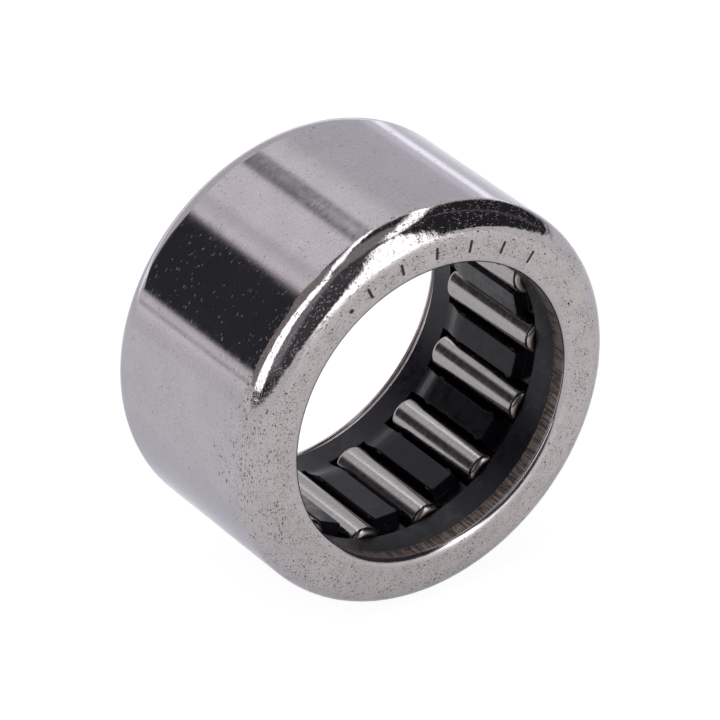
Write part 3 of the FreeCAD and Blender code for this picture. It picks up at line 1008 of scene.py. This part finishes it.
# Walls and lamps round the table: azimuth and elevation of the middle, half width and
# half height in degrees (azimuth 0 is +Y and 90 is +X), soft edge, brightness and tint.
# A brightness below zero takes that share away from what is behind it.
PANELS = (
    ((0, -46), (190, 46), 1.0, 1.0, (1.0, 0.99, 1.0)),  # table
    ((-52, 32), (28, 34), 8, 0.34, (1.0, 0.90, 0.88)),  # left wall
    ((-155, 34), (30, 34), 20, 0.06, (0.97, 0.95, 1.05)),  # front wall
    ((-119, 42), (13, 28), 18, 0.33, (1.0, 0.95, 1.05)),  # left glow
    ((0, 84), (200, 13), 12, 0.34, (1.0, 0.98, 1.0)),  # upper haze
    ((98, 32), (3.5, 28), 4, 0.10, (0.95, 0.95, 1.1)),  # right seam
    ((12, 21), (41, 26), 4, 0.90, (1.0, 0.985, 1.01)),  # backdrop
    ((6, 45.5), (25, 8.5), 6, 0.30, (1.0, 0.99, 1.0)),  # backdrop top
    ((-36, 19.5), (12, 15), 1.5, -0.89, (0.97, 0.97, 1.1)),  # dark corner
    ((-36, 19.5), (12, 15), 1.5, 0.02, (0.22, 0.53, 1.0)),  # dark corner tone
    ((62, -2), (10, 4), 5, -0.55, (1.0, 1.0, 1.0)),  # dark side
    ((-50, 2.8), (30, 2.0), 1.4, 0.75, (1.0, 1.0, 1.0)),  # table rim
    ((39, 2), (16, 4), 4, 0.24, (0.97, 0.99, 1.03)),  # table end
    ((-89.5, 36.8), (15.8, 30.7), 2.5, 3.2, (1.0, 1.0, 1.0)),  # left box
    ((163, 29), (13, 34), 5, 3.2, (1.0, 1.0, 1.0)),  # front box
    ((157, -5), (8, 3), 4, 1.6, (1.0, 1.0, 1.0)),  # front box foot
)
STRIPS = (
    ((-0.36, 0.18, 0), (0.20, 0.94, 0), 0.08, 0.06, 2.9),  # strip left
    ((0.71, 0.69, 0), (0.25, -0.28, 0), 0.105, 0.06, 2.9),  # strip right
)
GAP = ((9.5, 43.5), (5.5, 2.8), 3.8, -0.70, (1.0, 1.0, 1.0))


def shine(tree, light, mask, strength, colour):
    """Light with a lamp's or a wall's own light added, or with a share taken away."""
    if strength < 0:
        return vector_math(tree, "SCALE", light, plus(tree, 1.0, times(tree, mask, strength)))
    own = joined(tree, *(times(tree, mask, strength * c) for c in colour))
    return vector_math(tree, "ADD", light, own)


def build_surroundings(settings):
    """Dark studio with a pale backdrop, two tall soft boxes and two strips overhead."""
    world = bpy.data.worlds.new("studio")
    bpy.context.scene.world = world
    world.use_nodes = True
    tree = world.node_tree
    tree.nodes.clear()
    way = add_node(tree, "ShaderNodeTexCoord").outputs["Generated"]
    parts = parted(tree, way)
    azimuth = calc(tree, "DEGREES", calc(tree, "ARCTAN2", parts["X"], parts["Y"]))
    elevation = calc(tree, "DEGREES", calc(tree, "ARCSINE", parts["Z"]))
    height = calc(tree, "MAXIMUM", parts["Z"], 0.05)
    ceiling = joined(tree, calc(tree, "DIVIDE", parts["X"], height),
                     calc(tree, "DIVIDE", parts["Y"], height))
    above = span(tree, parts["Z"], 0.1, 0.3)

    def panel(light, centre, half, edge, strength, colour):
        mask = grouped(tree, "soft_panel", {
            "Azimuth": azimuth, "Elevation": elevation, "Centre": (*centre, 0.0),
            "Half": (*half, 0.0), "Edge": edge})["Mask"]
        return shine(tree, light, mask, strength, colour)

    light = (0.035, 0.034, 0.037)
    for values in PANELS:
        light = panel(light, *values)
    for start, end, half, edge, strength in STRIPS:
        mask = grouped(tree, "ceiling_strip", {"Place": ceiling, "Start": start, "End": end,
                                               "Half Width": half, "Edge": edge})["Mask"]
        light = shine(tree, light, times(tree, mask, above), strength, (1, 1, 1))
    light = panel(light, *GAP)
    studio = add_node(tree, "ShaderNodeBackground",
                      {"Color": light, "Strength": settings.light}).outputs[0]
    plain = add_node(tree, "ShaderNodeBackground", {"Color": (1, 1, 1, 1), "Strength": 1.0}).outputs[0]
    seen = add_node(tree, "ShaderNodeLightPath").outputs["Is Camera Ray"]
    mixed = add_node(tree, "ShaderNodeMixShader", {0: seen, 1: studio, 2: plain}).outputs[0]
    add_node(tree, "ShaderNodeOutputWorld", {"Surface": mixed})


def build_floor(settings):
    """White table, lit through from below so that it stays even."""
    half = settings.floor_size / 2
    bm = bmesh.new()
    bmesh.ops.create_grid(bm, x_segments=4, y_segments=4, size=half)
    mesh = mesh_from(bm, "white_table")
    mesh.transform(Matrix.Translation((0, 0, FLOOR - 0.01 * MM)))
    table = finish_object("white_table", mesh)
    material, tree, shader = new_material("white_acrylic")
    shader.inputs["Base Color"].default_value = rgba(settings.floor_colour)
    shader.inputs["Specular IOR Level"].default_value = 0.0
    shader.inputs["Emission Color"].default_value = (1, 1, 1, 1)
    shader.inputs["Emission Strength"].default_value = settings.floor_glow
    rough = span(tree, grouped(tree, "fine_grain", {"Scale": 0.4})["Coarse"], 0.3, 0.7, 0.85, 0.95)
    tree.links.new(rough, shader.inputs["Roughness"])
    seen = add_node(tree, "ShaderNodeLightPath").outputs["Is Camera Ray"]
    washed = times(tree, seen, settings.floor_white)
    white = add_node(tree, "ShaderNodeEmission", {"Color": (1, 1, 1, 1), "Strength": 1.05}).outputs[0]
    mixed = add_node(tree, "ShaderNodeMixShader", {0: washed, 1: shader.outputs[0], 2: white}).outputs[0]
    tree.links.new(mixed, tree.nodes["Material Output"].inputs["Surface"])
    mesh.materials.append(material)


def build_camera(settings):
    """Camera at the height and turn of a tabletop view of the marked face."""
    turned, height = settings.view_turn, settings.view_height
    back = Vector((math.sin(turned) * math.cos(height), -math.cos(turned) * math.cos(height),
                   math.sin(height)))
    data = bpy.data.cameras.new("camera")
    data.sensor_width = 36
    data.lens = settings.lens
    data.shift_x, data.shift_y = settings.shift_x, settings.shift_y
    data.clip_start, data.clip_end = 0.01, 100
    camera = finish_object("camera", data)
    camera.location = back * settings.view_distance
    camera.rotation_mode = "QUATERNION"
    camera.rotation_quaternion = (-back).to_track_quat("-Z", "Y")
    bpy.context.scene.camera = camera


# ---- operators --------------------------------------------------------------

class BEARING_OT_cup(bpy.types.Operator):
    """Build the drawn steel cup"""
    bl_idname = "bearing.cup"
    bl_label = "Cup"

    def execute(self, context):
        settings = context.scene.bearing_cup
        cup = build_cup(settings)
        cup.data.materials.append(cup_steel(settings))
        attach(cup, "cup")
        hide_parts("drawn_cup")
        return {"FINISHED"}


class BEARING_OT_cage(bpy.types.Operator):
    """Build the moulded cage with the crumbs of flash on it"""
    bl_idname = "bearing.cage"
    bl_label = "Cage"

    def execute(self, context):
        settings = context.scene.bearing_cage
        plastic = cage_plastic(settings)
        cage = build_cage(settings)
        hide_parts("needle_cage")
        for piece in (cage, build_crumbs(settings)):
            piece.data.materials.append(plastic)
            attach(piece, "cage")
        return {"FINISHED"}


class BEARING_OT_needles(bpy.types.Operator):
    """Build every needle at its place in the cage"""
    bl_idname = "bearing.needles"
    bl_label = "Needles"

    def execute(self, context):
        settings = context.scene.bearing_needles
        steel = needle_steel(settings)
        for i, angle in enumerate(NEEDLE["angles"]):
            node = "needle_%02d" % (i + 1)
            needle = build_needle(settings, i + 1, angle)
            needle.data.materials.append(steel)
            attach(needle, node)
            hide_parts(node)
        return {"FINISHED"}


class BEARING_OT_studio(bpy.types.Operator):
    """Set up the table, the lamps and the camera"""
    bl_idname = "bearing.studio"
    bl_label = "Studio"

    def execute(self, context):
        settings = context.scene.bearing_studio
        build_camera(settings)
        build_floor(settings)
        build_surroundings(settings)
        context.scene.view_settings.view_transform = "Standard"
        return {"FINISHED"}


class BEARING_PT_panel(bpy.types.Panel):
    """Sizes and colours of the bearing, with a button for each piece"""
    bl_label = "Needle Roller Bearing"
    bl_idname = "BEARING_PT_panel"
    bl_space_type = "VIEW_3D"
    bl_region_type = "UI"
    bl_category = "Bearing"

    def draw(self, context):
        for operator, owner in STEPS:
            box = self.layout.box()
            box.operator(operator)
            settings = getattr(context.scene, owner)
            for name in settings.__annotations__:
                box.prop(settings, name)


SETTINGS = {
    "bearing_cup": CupSettings,
    "bearing_cage": CageSettings,
    "bearing_needles": NeedleSettings,
    "bearing_studio": StudioSettings,
}
STEPS = (
    ("bearing.studio", "bearing_studio"),
    ("bearing.cup", "bearing_cup"),
    ("bearing.cage", "bearing_cage"),
    ("bearing.needles", "bearing_needles"),
)
CLASSES = (*SETTINGS.values(), BEARING_OT_cup, BEARING_OT_cage, BEARING_OT_needles,
           BEARING_OT_studio, BEARING_PT_panel)


def register():
    for cls in CLASSES:
        bpy.utils.register_class(cls)
    for name, cls in SETTINGS.items():
        setattr(bpy.types.Scene, name, PointerProperty(type=cls))


def unregister():
    for name in SETTINGS:
        delattr(bpy.types.Scene, name)
    for cls in reversed(CLASSES):
        bpy.utils.unregister_class(cls)


def main():
    register()
    bpy.ops.bearing.studio()
    bpy.ops.bearing.cup()
    bpy.ops.bearing.cage()
    bpy.ops.bearing.needles()


if __name__ == "__main__":
    main()
